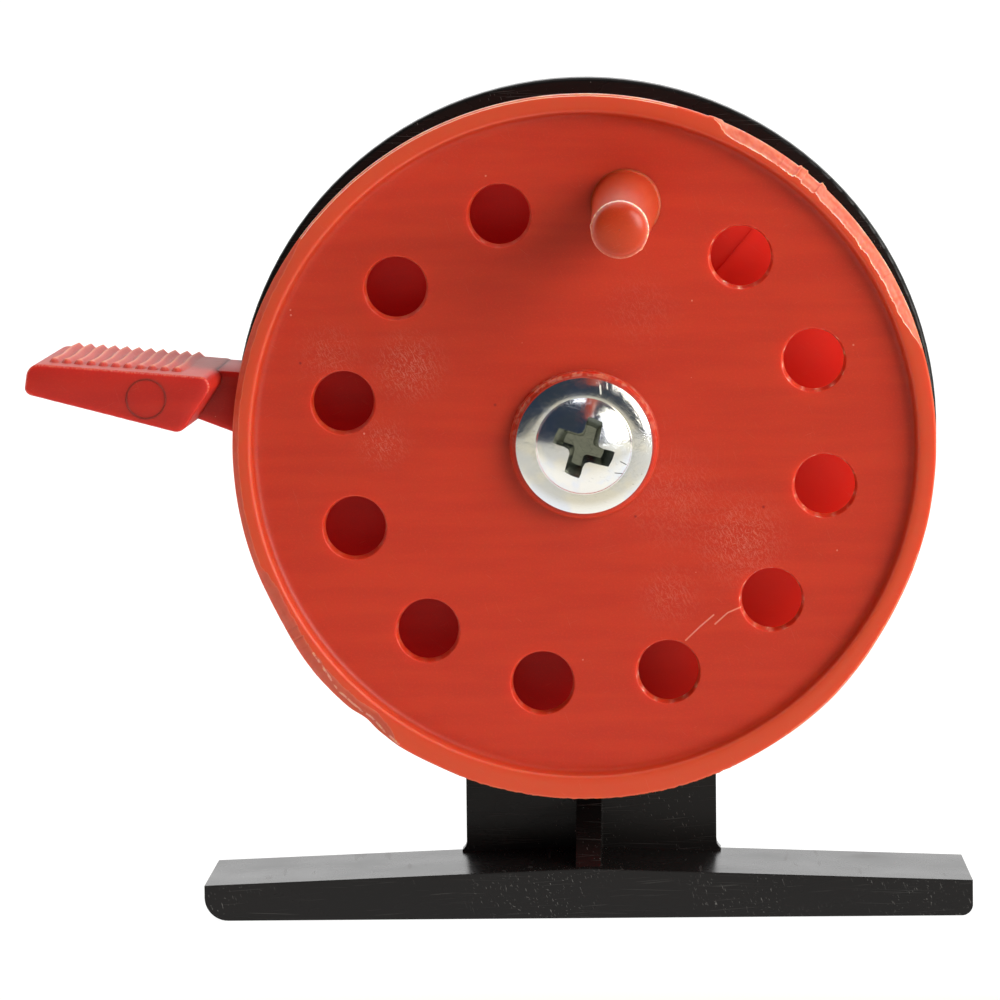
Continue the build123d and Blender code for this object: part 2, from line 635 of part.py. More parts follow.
PIECES = {
    "frame": frame,
    "spool_front": spool_front,
    "spool_rear": spool_rear,
    "handle_knob": handle_knob,
    "axle_screw": axle_screw,
    "axle_sleeve": axle_sleeve,
    "thrust_washer": thrust_washer,
    "axle_nut": axle_nut,
    "lever": lever,
    "brake_shoe": brake_shoe,
    "lever_pivot_pin": lever_pivot_pin,
    "pivot_retainer": pivot_retainer,
    "lever_spring": lever_spring,
}

os.makedirs("parts", exist_ok=True)
for name, make in PIECES.items():
    shape = make()
    export_step(shape, f"parts/{name}.step")
    print(name, len(shape.solids()), round(shape.volume, 1))
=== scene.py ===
import math

import bmesh
import bpy
from mathutils import Matrix, Vector, noise


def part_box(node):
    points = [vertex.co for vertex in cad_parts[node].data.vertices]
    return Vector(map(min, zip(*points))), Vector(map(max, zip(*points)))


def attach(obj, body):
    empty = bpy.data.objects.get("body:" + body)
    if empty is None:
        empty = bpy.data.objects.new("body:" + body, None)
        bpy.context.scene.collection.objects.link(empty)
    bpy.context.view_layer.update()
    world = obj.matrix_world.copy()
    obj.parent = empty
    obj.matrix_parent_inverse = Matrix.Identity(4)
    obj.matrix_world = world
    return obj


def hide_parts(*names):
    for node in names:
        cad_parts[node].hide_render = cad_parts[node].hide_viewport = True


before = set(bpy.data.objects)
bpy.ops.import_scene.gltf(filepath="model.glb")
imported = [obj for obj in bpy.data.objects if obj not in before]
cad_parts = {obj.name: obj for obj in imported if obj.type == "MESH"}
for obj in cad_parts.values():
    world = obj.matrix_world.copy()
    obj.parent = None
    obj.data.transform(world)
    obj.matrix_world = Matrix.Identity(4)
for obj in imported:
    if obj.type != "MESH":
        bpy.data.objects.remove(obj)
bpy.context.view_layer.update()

# Lengths are in millimetres until they become a mesh. Lights are placed in metres.
MM = 0.001
TURN = 2 * math.pi


def box_mm(node):
    """Lowest and highest corner of a CAD node in millimetres."""
    low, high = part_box(node)
    return low / MM, high / MM


# ---- places read from the frame ----
SPOOL_LOW, SPOOL_HIGH = box_mm("spool_front")
SCREW_LOW, SCREW_HIGH = box_mm("axle_screw")
KNOB_TIP_Y = box_mm("handle_knob")[0].y
LEVER_LOW, LEVER_HIGH = box_mm("lever")
SEAT_Y = box_mm("axle_sleeve")[0].y
AXLE_Z = (SCREW_LOW.z + SCREW_HIGH.z) / 2
LIP_Y = SPOOL_LOW.y

# ---- camera: nearly square on, a little above and to the right ----
CAMERA_FROM_FACE = Vector((7.56, -700.47, 74.25))
PICTURE_CENTRE_FROM_FACE = Vector((-6.0, 0, -3.84))
CAMERA_ROLL = math.radians(-0.60)
CAMERA_LENS = 357.45

# ---- spool, in the same sizes as its CAD node ----
FLANGE_R = 25.0
LIP_HEIGHT = 0.95
WEB_T = 1.3
BOSS_R = 5.25
BOSS_T = 0.7
BORE_R = 3.05
HOLE_RING_R = 17.36
HOLE_FRONT_R = 2.27
HOLE_BACK_R = 2.12
# Eleven holes and the knob share these positions round the ring.
POSITIONS = 12
KNOB_ANGLE = math.radians(79.7)
ARBOR_R = 12.5
LINE_SPACE = 5.4
HUB_TUBE_R = 5.0
LINE_HOLE_R = 0.6
LINE_HOLE_TURN = 40
RIM_STEPS = 1800

# Scraped stretches of the rim: from, to in degrees, greatest width, how pale.
SCRAPES = (
    (14, 69, 0.82, 0.55),
    (69, 150, 0.13, 0.75),
    (140, 206, 0.42, 0.2),
    (196, 239, 0.92, 0.16),
    (298, 346, 0.08, 0.4),
)
# Flash left outside the rim: from, to in degrees, how far it stands out.
FLASHES = ((244, 300, 0.1), (66, 69, 0.16), (50, 52, 0.22), (46, 47.5, 0.2))
# The rim's low half stands proud: from, to in degrees, how far.
PROUD = (207, 332, 0.27)
# The notch in it: angle and width in degrees, depth.
NOTCH = (231, 2.2, 0.2)


# ---- mesh helpers ----
def smooth(value, low, high):
    """0 below low, 1 above high, with a soft passage."""
    t = min(1, max(0, (value - low) / (high - low)))
    return t * t * (3 - 2 * t)


def rough(x, y=0.0, z=0.0):
    """Repeatable noise between about -1 and 1."""
    return noise.noise(Vector((x, y, z)))


def about_axle(radius, angle, y):
    """Point at a radius and an angle about the axle, at a depth."""
    return Vector((radius * math.cos(angle), y, AXLE_Z + radius * math.sin(angle)))


def grid_mesh(columns, close_rows=False, close_columns=True, caps=False, wears=None):
    """Surface through columns of points, optionally closed either way, capped and worn pale."""
    bm = bmesh.new()
    layer = bm.verts.layers.float.new("wear") if wears else None
    verts = [[bm.verts.new(p * MM) for p in column] for column in columns]
    if wears:
        for line, wear in zip(verts, wears):
            for vert, value in zip(line, wear):
                vert[layer] = value
    count, rows = len(columns), len(columns[0])
    for i in range(count if close_columns else count - 1):
        a, b = verts[i], verts[(i + 1) % count]
        for j in range(rows if close_rows else rows - 1):
            k = (j + 1) % rows
            bm.faces.new((a[j], a[k], b[k], b[j]))
    if caps:
        bm.faces.new(verts[0])
        bm.faces.new(list(reversed(verts[-1])))
    bmesh.ops.remove_doubles(bm, verts=bm.verts, dist=1e-7)
    bmesh.ops.recalc_face_normals(bm, faces=bm.faces)
    return bm


def lathe(profile, steps, x=0.0, dz=0.0):
    """Closed solid turned about a line beside the axle from (radius, y) points."""
    columns = []
    for i in range(steps):
        angle = TURN * i / steps
        columns.append([about_axle(r, angle, y) + Vector((x, 0, dz)) for r, y in profile])
    return grid_mesh(columns, close_rows=True)


def rounded(corners, steps=10):
    """Outline with round corners from (x, z, radius) corners."""
    points = []
    for i, (x, z, radius) in enumerate(corners):
        here = Vector((x, z))
        before = (Vector(corners[i - 1][:2]) - here).normalized()
        after = (Vector(corners[(i + 1) % len(corners)][:2]) - here).normalized()
        half = before.angle(after) / 2
        centre = here + (before + after).normalized() * radius / math.sin(half)
        start = here + before * radius / math.tan(half) - centre
        end = here + after * radius / math.tan(half) - centre
        first = math.atan2(start.y, start.x)
        sweep = (math.atan2(end.y, end.x) - first + math.pi) % TURN - math.pi
        for k in range(steps + 1):
            angle = first + sweep * k / steps
            points.append(centre + radius * Vector((math.cos(angle), math.sin(angle))))
    return points


def spaced(points, step):
    """The same closed outline with points a step apart."""
    result = []
    for i, here in enumerate(points):
        there = points[(i + 1) % len(points)]
        parts = max(1, round((there - here).length / step))
        result += [here.lerp(there, k / parts) for k in range(parts)]
    return result


def inset(points, distance):
    """Outline moved inwards; the outline runs clockwise."""
    result = []
    for i, here in enumerate(points):
        along = points[(i + 1) % len(points)] - points[i - 1]
        along.normalize()
        result.append(here + Vector((along.y, -along.x)) * distance)
    return result


def prism(outline, y0, y1, edge):
    """Slab between two depths with rounded front and back edges."""
    columns = []
    for y, cut in ((y0, edge), (y0 + edge * 0.3, edge * 0.3), (y0 + edge, 0),
                   (y1 - edge, 0), (y1 - edge * 0.3, edge * 0.3), (y1, edge)):
        columns.append([Vector((p.x, y, AXLE_Z + p.y)) for p in inset(outline, cut)])
    return grid_mesh(columns, close_rows=True, close_columns=False, caps=True)


def circle(x, z, radius, steps=64):
    """Round outline, clockwise."""
    return [Vector((x + radius * math.cos(-TURN * k / steps), z + radius * math.sin(-TURN * k / steps)))
            for k in range(steps)]


def to_object(bm, name):
    """The mesh as an object in the scene."""
    mesh = bpy.data.meshes.new(name)
    bm.to_mesh(mesh)
    bm.free()
    obj = bpy.data.objects.new(name, mesh)
    bpy.context.scene.collection.objects.link(obj)
    return obj


def cut_from(bm, cutters):
    """Subtract closed meshes from a closed mesh."""
    body = to_object(bm, "body_to_cut")
    tools = to_object(joined(cutters), "cutters")
    modifier = body.modifiers.new("cut", "BOOLEAN")
    modifier.operation = "DIFFERENCE"
    modifier.solver = "EXACT"
    modifier.object = tools
    solved = body.evaluated_get(bpy.context.evaluated_depsgraph_get())
    result = bmesh.new()
    result.from_mesh(solved.to_mesh())
    solved.to_mesh_clear()
    for obj in (body, tools):
        mesh = obj.data
        bpy.data.objects.remove(obj)
        bpy.data.meshes.remove(mesh)
    return result


def joined(parts):
    """One mesh of several."""
    whole = bmesh.new()
    for part in parts:
        mesh = bpy.data.meshes.new("part")
        part.to_mesh(mesh)
        part.free()
        whole.from_mesh(mesh)
        bpy.data.meshes.remove(mesh)
    return whole


def add_piece(bm, name, material, body, stands_for, sharp):
    """Finished piece: shaded, riding on its body and standing for its CAD node."""
    for face in bm.faces:
        face.smooth = True
    piece = to_object(bm, name)
    piece.data.set_sharp_from_angle(angle=math.radians(sharp))
    piece.data.materials.append(material)
    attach(piece, body)
    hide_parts(stands_for)
    return piece


# ---- material helpers ----
class Graph:
    """Node tree of one material; places are in millimetres from the object's origin."""

    def __init__(self, name):
        self.material = bpy.data.materials.new(name)
        self.material.use_nodes = True
        self.tree = self.material.node_tree
        self.shader = self.tree.nodes["Principled BSDF"]
        raw = self.add("ShaderNodeTexCoord").outputs["Object"]
        scaled = self.add("ShaderNodeVectorMath", operation="SCALE")
        self.tree.links.new(raw, scaled.inputs[0])
        scaled.inputs["Scale"].default_value = 1 / MM
        self.place = scaled.outputs[0]

    def add(self, kind, **settings):
        """New node of a kind, with its settings."""
        node = self.tree.nodes.new(kind)
        for key, value in settings.items():
            setattr(node, key, value)
        return node

    def feed(self, socket, value):
        """Link another node's output to an input, or set a plain value on it."""
        if isinstance(value, bpy.types.NodeSocket):
            self.tree.links.new(value, socket)
        else:
            socket.default_value = value

    def math(self, operation, *values):
        """Result of a maths node."""
        node = self.add("ShaderNodeMath", operation=operation)
        for socket, value in zip(node.inputs, values):
            self.feed(socket, value)
        return node.outputs[0]

    def step(self, value, low, high):
        """0 at low and 1 at high, with a soft passage; low may be the greater one."""
        node = self.add("ShaderNodeMapRange", interpolation_type="SMOOTHSTEP")
        for key, item in (("Value", value), ("From Min", low), ("From Max", high)):
            self.feed(node.inputs[key], item)
        return node.outputs["Result"]

    def stretched(self, size, turn=0.0, offset=0.0, place=None):
        """Coordinates turned in the plane of the face and divided by a feature size."""
        node = self.add("ShaderNodeMapping", vector_type="TEXTURE")
        self.feed(node.inputs["Vector"], place or self.place)
        node.inputs["Location"].default_value = (offset, 1.7 * offset, -offset)
        node.inputs["Rotation"].default_value = (0, math.radians(turn), 0)
        node.inputs["Scale"].default_value = size
        return node.outputs[0]

    def noise(self, size, detail=2.0, turn=0.0, offset=0.0, place=None):
        """Cloudy noise about one half, with features of a size in mm along each axis."""
        node = self.add("ShaderNodeTexNoise")
        self.feed(node.inputs["Vector"], self.stretched(size, turn, offset, place))
        node.inputs["Scale"].default_value = 1
        node.inputs["Detail"].default_value = detail
        return node.outputs["Fac"]

    def streaks(self, length, width, turn, level, offset=0.0, place=None):
        """Thin broken lines at one angle; a higher level leaves fewer."""
        grain = self.noise((length, length, width), 1.0, turn, offset, place)
        return self.step(grain, level, level + 0.035)

    def specks(self, cell, radius, share, offset=0.0):
        """Scattered small dots, in a share of cells of the given size."""
        node = self.add("ShaderNodeTexVoronoi")
        self.feed(node.inputs["Vector"], self.stretched((cell,) * 3, 17, offset))
        node.inputs["Scale"].default_value = 1
        split = self.add("ShaderNodeSeparateColor")
        self.feed(split.inputs[0], node.outputs["Color"])
        reach = self.math("MULTIPLY", split.outputs["Green"], radius / cell)
        near = self.math("LESS_THAN", node.outputs["Distance"], reach)
        chosen = self.math("LESS_THAN", split.outputs["Red"], share)
        return self.math("MULTIPLY", near, chosen)

    def largest(self, *values):
        """Greatest of several values."""
        result = values[0]
        for value in values[1:]:
            result = self.math("MAXIMUM", result, value)
        return result

    def times(self, *values):
        """Product of several values."""
        result = values[0]
        for value in values[1:]:
            result = self.math("MULTIPLY", result, value)
        return result

    def mix(self, factor, first, second):
        """Blend from the first colour to the second."""
        node = self.add("ShaderNodeMix", data_type="RGBA")
        self.feed(node.inputs["Factor"], factor)
        for socket, value in ((node.inputs[6], first), (node.inputs[7], second)):
            self.feed(socket, (*value, 1) if isinstance(value, tuple) else value)
        return node.outputs[2]

    def split(self, place=None):
        """The x, y and z of a place."""
        node = self.add("ShaderNodeSeparateXYZ")
        self.feed(node.inputs[0], place or self.place)
        return node.outputs

    def radius(self):
        """Distance from the axle in the plane of the face."""
        flat = self.vector("MULTIPLY", self.place, (1, 0, 1))
        return self.vector("DISTANCE", flat, (0, 0, AXLE_Z))

    def polar(self):
        """Coordinates that run round the axle: arc length, depth, radius."""
        x, y, z = self.split()
        up = self.math("SUBTRACT", z, AXLE_Z)
        radius = self.radius()
        arc = self.math("MULTIPLY", self.math("ARCTAN2", up, x), 12.0)
        node = self.add("ShaderNodeCombineXYZ")
        for socket, value in zip(node.inputs, (arc, y, radius)):
            self.feed(socket, value)
        return node.outputs[0]

    def vector(self, operation, first, second):
        """Result of a vector node."""
        node = self.add("ShaderNodeVectorMath", operation=operation)
        self.feed(node.inputs[0], first)
        self.feed(node.inputs["Scale" if operation == "SCALE" else 1], second)
        return node.outputs["Value" if operation in ("DISTANCE", "DOT_PRODUCT") else "Vector"]

    def cloud(self, x, dz, reach):
        """1 at a place on the face, fading to 0 at the reach."""
        flat = self.vector("MULTIPLY", self.place, (1, 0, 1))
        return self.step(self.vector("DISTANCE", flat, (x, 0, AXLE_Z + dz)), reach, 0.0)

    def stroke(self, points, width):
        """Line drawn on the face through points given from the axle."""
        flat = self.vector("MULTIPLY", self.place, (1, 0, 1))
        lines = []
        for start, end in zip(points, points[1:]):
            origin = Vector((start[0], 0, AXLE_Z + start[1]))
            run = Vector((end[0], 0, AXLE_Z + end[1])) - origin
            reach = self.vector("SUBTRACT", flat, origin)
            along = self.vector("DOT_PRODUCT", reach, run / run.length_squared)
            along = self.math("MINIMUM", self.math("MAXIMUM", along, 0.0), 1.0)
            nearest = self.vector("ADD", self.vector("SCALE", tuple(run), along), tuple(origin))
            lines.append(self.step(self.vector("DISTANCE", flat, nearest), width, width * 0.4))
        return self.largest(*lines)

    def bump(self, height, depth, edge=0.0):
        """Surface relief of a depth in mm over edges softened by a radius in mm."""
        node = self.add("ShaderNodeBump")
        self.feed(node.inputs["Height"], height)
        node.inputs["Strength"].default_value = 1
        node.inputs["Distance"].default_value = depth * MM
        if edge:
            soft = self.add("ShaderNodeBevel", samples=4)
            soft.inputs["Radius"].default_value = edge * MM
            self.tree.links.new(soft.outputs[0], node.inputs["Normal"])
        self.tree.links.new(node.outputs[0], self.shader.inputs["Normal"])

    def set(self, **sockets):
        """Feed the shader's inputs, named with underscores for spaces."""
        for key, value in sockets.items():
            self.feed(self.shader.inputs[key.replace("_", " ").title().replace("Ior", "IOR")], value)


# Marks on the spool's face, in millimetres right of and above the axle.
CRACKS = (
    ((11.04, -11.75), (10.1, -12.15), (9.2, -12.95)),
    ((9.1, -12.3), (8.1, -13.15), (7.1, -14.1)),
)
STRESS_LINE = (
    (-19.4, -14.7), (-18.2, -16.55), (-17.6, -17.5), (-16.1, -18.85), (-15.3, -19.4), (-14.3, -20.5),
    (-13.4, -21.25),
)
DARK_DOTS = ((-6.3, 2.85), (12.7, -4.6), (-20.1, 5.95), (3.6, -5.2))
# Scuffed areas: right, above, reach, how strong.
SCUFFS = (
    (-12.4, 5.6, 3.6, 1.0), (-14.3, 0.2, 2.6, 0.8), (-18, 6.6, 3.2, 0.6), (11, -6.8, 4.6, 0.9),
    (6, -10.8, 3.0, 0.6), (4, 9.5, 4.0, 0.35), (6.5, -4, 5.0, 0.5),
)
# Colours of wear and damage on the red plastic.
DARK_RED = (0.2, 0.006, 0.006)
CHALKY_RED = (0.78, 0.38, 0.27)
BARE_PALE = (0.95, 0.72, 0.62)
# How deep red, green and blue light soak into it, in millimetres.
SOAK = (1.5, 0.42, 0.12)


def red_plastic(name, base, shade, warm=None, roughness=0.42, right=None):
    """Moulded red plastic: light soaks in a little, with scratches, dust and pale wear; a rim colour given
    as warm and a right-side colour given as right are painted light.
    """
    g = Graph(name)
    mottle = g.noise((9, 9, 1.1), 4.0)
    grain = g.noise((5, 5, 0.16), 2.0, 0.6)
    sand = g.noise((0.16, 0.16, 0.12), 1.0)
    colour = g.mix(g.step(mottle, 0.35, 0.65), base, shade)
    colour = g.mix(g.times(g.step(sand, 0.45, 0.8), 0.35), colour, tuple(1.25 * c for c in base))
    # Painted light: lighter and more orange towards the right, where the key shines in.
    if right:
        colour = g.mix(g.step(g.split()[0], -2, 11), colour, right)
    hair = g.largest(
        g.streaks(2.0, 0.03, 38, 0.765, 3), g.streaks(1.5, 0.025, -24, 0.77, 11),
        g.streaks(3.0, 0.03, 71, 0.775, 23))
    dust = g.specks(1.5, 0.075, 0.16, 5)
    marks = g.times(hair, 0.2)
    if warm:
        # Painted light: the rim is coloured more orange, as lit red plastic looks.
        colour = g.mix(g.step(g.radius(), 23.3, 24.1), colour, warm)
        arcs = g.streaks(5, 0.04, 0, 0.70, 31, g.polar())
        ring = g.times(arcs, g.cloud(4.5, -4.0, 9))
        clouds = g.largest(*(g.times(g.cloud(x, dz, reach), amount) for x, dz, reach, amount in SCUFFS))
        flecks = g.largest(
            g.streaks(0.4, 0.07, 62, 0.60, 41), g.streaks(0.9, 0.045, 40, 0.63, 47),
            g.streaks(0.5, 0.05, -15, 0.65, 53), g.streaks(0.35, 0.06, 100, 0.64, 59))
        boss = g.step(g.radius(), 5.4, 5.25)
        upper = g.step(g.split()[2], AXLE_Z - 1, AXLE_Z + 3)
        chafed = g.times(boss, g.step(g.noise((0.5, 0.5, 0.5), 4.0), 0.45, 0.6), upper)
        cracks = g.largest(*(g.stroke(points, 0.075) for points in CRACKS))
        ragged = g.step(g.noise((0.5, 0.5, 0.5), 3.0), 0.4, 0.62)
        stress = g.times(g.stroke(STRESS_LINE, 0.11), ragged)
        dots = g.largest(*(g.cloud(x, dz, 0.16) for x, dz in DARK_DOTS))
        colour = g.mix(g.times(dots, 0.9), colour, DARK_RED)
        marks = g.largest(
            marks, g.times(ring, 0.25), g.times(flecks, clouds, 0.3), g.times(chafed, 0.4),
            g.times(cracks, 0.55), g.times(stress, 1.2))
    wear = g.add("ShaderNodeAttribute", attribute_name="wear").outputs["Fac"]
    pale = g.largest(marks, g.times(dust, 0.6), wear)
    colour = g.mix(pale, colour, CHALKY_RED)
    colour = g.mix(g.step(wear, 0.55, 0.95), colour, BARE_PALE)
    waves = g.math("SUBTRACT", g.times(mottle, 0.35), g.times(pale, 0.4))
    height = g.math("ADD", g.times(grain, 0.3), waves)
    height = g.math("ADD", height, g.times(sand, 0.12))
    dulled = g.math("ADD", g.times(pale, 0.2), g.times(grain, 0.08))
    g.set(base_color=colour, roughness=g.math("ADD", roughness, dulled), subsurface_weight=0.85,
          subsurface_radius=SOAK, subsurface_scale=MM, specular_ior_level=0.34)
    g.bump(height, 0.012)
    return g.material


def black_plastic():
    """Glossy black plastic with dust, pale nicks and faint drag marks."""
    g = Graph("black_plastic_worn")
    cloudy = g.noise((6, 6, 3), 4.0)
    fine = g.noise((0.35, 0.35, 0.35), 2.0)
    drag = g.largest(g.streaks(9, 0.06, 2, 0.69, 7), g.streaks(5, 0.05, -4, 0.70, 19))
    nicks = g.largest(g.streaks(0.5, 0.06, 70, 0.72, 3), g.streaks(0.3, 0.05, 20, 0.74, 13))
    dust = g.specks(0.8, 0.07, 0.22, 9)
    patch = g.step(g.noise((7, 7, 7), 1.0, 0, 31), 0.45, 0.62)
    pale = g.largest(g.times(drag, 0.1), g.times(nicks, patch, 0.5), g.times(dust, 0.5))
    colour = g.mix(cloudy, (0.0065, 0.0062, 0.0058), (0.011, 0.0095, 0.009))
    colour = g.mix(pale, colour, (0.3, 0.29, 0.27))
    dulled = g.math("ADD", g.times(cloudy, 0.14), g.times(pale, 0.4))
    g.set(base_color=colour, roughness=g.math("ADD", 0.2, dulled), specular_ior_level=0.2)
    relief = g.math("SUBTRACT", g.times(fine, 0.08), g.times(drag, 0.1))
    g.bump(g.math("ADD", g.times(cloudy, 0.7), relief), 0.02, 0.12)
    return g.material


# Colours of the painted shade deep in a screw's recess, and of pits and scores in plated steel.
RECESS_PAINTED_SHADE = (0.2, 0.215, 0.18)
TARNISH = (0.08, 0.08, 0.07)
# Hairline scratches in plated steel: length, angle, seed.
HAIRLINES = ((1.6, 12, 2), (1.2, 50, 5), (1.9, 88, 8), (1.3, 129, 14), (1.1, 158, 21))


def metal(name, cool, warm, roughness, scratch_depth, nick=None, slips=()):
    """Plated steel: faint tint, hairline scratches, pits, and where a nick is given a screw's marks and
    painted shade deep in its recess.
    """
    g = Graph(name)
    tint = g.step(g.noise((2.2, 2.2, 2.2), 3.0), 0.4, 0.62)
    lines = g.largest(*(g.streaks(length, 0.022, turn, 0.66, seed) for length, turn, seed in HAIRLINES))
    pits = g.specks(0.35, 0.035, 0.12, 4)
    scores = g.streaks(0.5, 0.04, 35, 0.74, 33)
    haze = g.noise((0.5, 0.5, 0.5), 4.0)
    colour = g.mix(tint, cool, warm)
    if nick:
        # Painted shade: the deeper part of the cross recess is darkened to a greenish grey.
        depth = g.split()[1]
        recess_shade = g.times(g.step(depth, SEAT_Y - 1.45, SEAT_Y - 0.6), g.step(depth, SEAT_Y, SEAT_Y - 0.05),
                       g.step(g.radius(), 2.6, 2.4))
        colour = g.mix(recess_shade, colour, RECESS_PAINTED_SHADE)
    dark = g.largest(g.times(pits, 0.8), g.times(scores, 0.5), *(g.stroke(slip, 0.04) for slip in slips))
    colour = g.mix(dark, colour, TARNISH)
    if nick:
        lines = g.largest(lines, g.times(g.stroke(nick, 0.07), 8.0))
    g.set(base_color=colour, metallic=1.0,
          roughness=g.math("ADD", roughness, g.math("ADD", g.times(haze, 0.08), g.times(lines, 0.1))))
    g.bump(g.math("ADD", g.times(lines, -1.0), g.times(haze, 0.5)), scratch_depth)
    return g.material


def matt(name, colour, shade, roughness, size):
    """Plain dull material with fine grain for the small hidden parts."""
    g = Graph(name)
    grain = g.noise((size, size, size), 4.0)
    g.set(base_color=g.mix(grain, colour, shade), roughness=g.math("ADD", roughness, g.times(grain, 0.15)))
    g.bump(grain, 0.02, 0.06)
    return g.material


# The floor's paint and its own light, at the camera's side and behind the object.
FLOOR_FRONT = (0.24, 0.225, 0.18)
FLOOR_BACK, FLOOR_BACK_SHADE = (0.17, 0.17, 0.16), (0.19, 0.19, 0.18)
GLOW_FRONT, GLOW_BACK = (1, 0.95, 0.83), (1, 1, 1)
GLOW_STRENGTH, GLOW_GAIN_BEHIND = 0.5, 0.44


def floor_paint():
    """White sweep that gives off light, less of it and creamier where the camera stands."""
    g = Graph("white_sweep")
    tone = g.noise((400, 400, 400), 2.0)
    behind = g.step(g.split()[1], -75, -25)
    paper = g.mix(tone, FLOOR_BACK, FLOOR_BACK_SHADE)
    g.set(base_color=g.mix(behind, FLOOR_FRONT, paper), roughness=0.8, specular_ior_level=0.1,
          emission_color=g.mix(behind, GLOW_FRONT, GLOW_BACK),
          emission_strength=g.math("ADD", GLOW_STRENGTH, g.times(behind, GLOW_GAIN_BEHIND)))
    return g.material


# ---- camera, lights, floor ----
SENSOR_WIDTH = 36
WORLD_FRONT = (0.03, 0.042, 0.064, 1)
WORLD_BACK = (1.35, 1.35, 1.35, 1)


def add_camera():
    """Long lens looking slightly down on the spool's face."""
    data = bpy.data.cameras.new("camera")
    data.sensor_width = SENSOR_WIDTH
    data.lens = CAMERA_LENS
    data.clip_end = 20
    camera = bpy.data.objects.new("camera", data)
    bpy.context.scene.collection.objects.link(camera)
    face = Vector((0, LIP_Y, AXLE_Z))
    place = (face + CAMERA_FROM_FACE) * MM
    aim = (face + PICTURE_CENTRE_FROM_FACE) * MM - place
    turn = aim.to_track_quat("-Z", "Y").to_matrix().to_4x4()
    camera.matrix_world = Matrix.Translation(place) @ turn @ Matrix.Rotation(CAMERA_ROLL, 4, "Z")
    bpy.context.scene.camera = camera


def area_light(name, place, size, power, colour):
    """Square softbox aimed at the spool, with its place and size in metres."""
    data = bpy.data.lights.new(name, "AREA")
    data.size = size
    data.energy = power
    data.color = colour
    light = bpy.data.objects.new(name, data)
    bpy.context.scene.collection.objects.link(light)
    aim = Vector((0, 0, AXLE_Z * MM)) - Vector(place)
    light.rotation_euler = aim.to_track_quat("-Z", "Y").to_euler()
    light.location = place


def add_world():
    """Bright behind the object, dim and bluish where the camera stands."""
    world = bpy.data.worlds.new("studio")
    bpy.context.scene.world = world
    world.use_nodes = True
    tree = world.node_tree
    place = tree.nodes.new("ShaderNodeTexCoord")
    split = tree.nodes.new("ShaderNodeSeparateXYZ")
    tree.links.new(place.outputs["Generated"], split.inputs[0])
    ramp = tree.nodes.new("ShaderNodeMapRange")
    ramp.interpolation_type = "SMOOTHSTEP"
    ramp.inputs["From Min"].default_value = -0.2
    ramp.inputs["From Max"].default_value = 0.35
    tree.links.new(split.outputs[1], ramp.inputs["Value"])
    mix = tree.nodes.new("ShaderNodeMix")
    mix.data_type = "RGBA"
    mix.inputs[6].default_value = WORLD_FRONT
    mix.inputs[7].default_value = WORLD_BACK
    tree.links.new(ramp.outputs["Result"], mix.inputs["Factor"])
    tree.links.new(mix.outputs[2], tree.nodes["Background"].inputs[0])


def add_floor(material):
    bm = bmesh.new()
    bmesh.ops.create_grid(bm, x_segments=8, y_segments=8, size=4)
    floor = to_object(bm, "floor")
    floor.data.materials.append(material)


# ---- spool ----
def scrape_at(angle):
    """Width of the scraped bevel on the rim at an angle, and how pale it is."""
    degrees = math.degrees(angle) % 360
    width, pale = 0.07 + 0.02 * rough(angle * 40, 1), 0.12
    for start, end, widest, whiteness in SCRAPES:
        ramp = min(9, (end - start) / 4)
        inside = smooth(degrees, start, start + ramp) * smooth(-degrees, -end, -end + ramp * 0.6)
        ragged = 1 + 0.13 * rough(angle * 30, 5) + 0.09 * rough(angle * 140, 9)
        here = widest * inside * ragged
        if here > width:
            width, pale = here, whiteness
    return width, pale


def rim_outside(angle):
    """How far the rim stands outside or inside its nominal radius."""
    degrees = math.degrees(angle) % 360
    change = 0.02 * rough(angle * 9, 3) - 0.02
    for start, end, reach in FLASHES:
        if start < degrees < end:
            fade = (end - start) * 0.2
            edge = smooth(degrees, start, start + fade) * smooth(-degrees, -end, -end + fade)
            change += reach * edge * (0.65 + 0.5 * rough(angle * 60, 7) + 0.3 * rough(angle * 210, 2))
    start, end, proud = PROUD
    change += proud * smooth(degrees, start, start + 14) * smooth(-degrees, -end, 22 - end)
    centre, width, depth = NOTCH
    change -= depth * math.exp(-((degrees - centre) / width) ** 2)
    return change


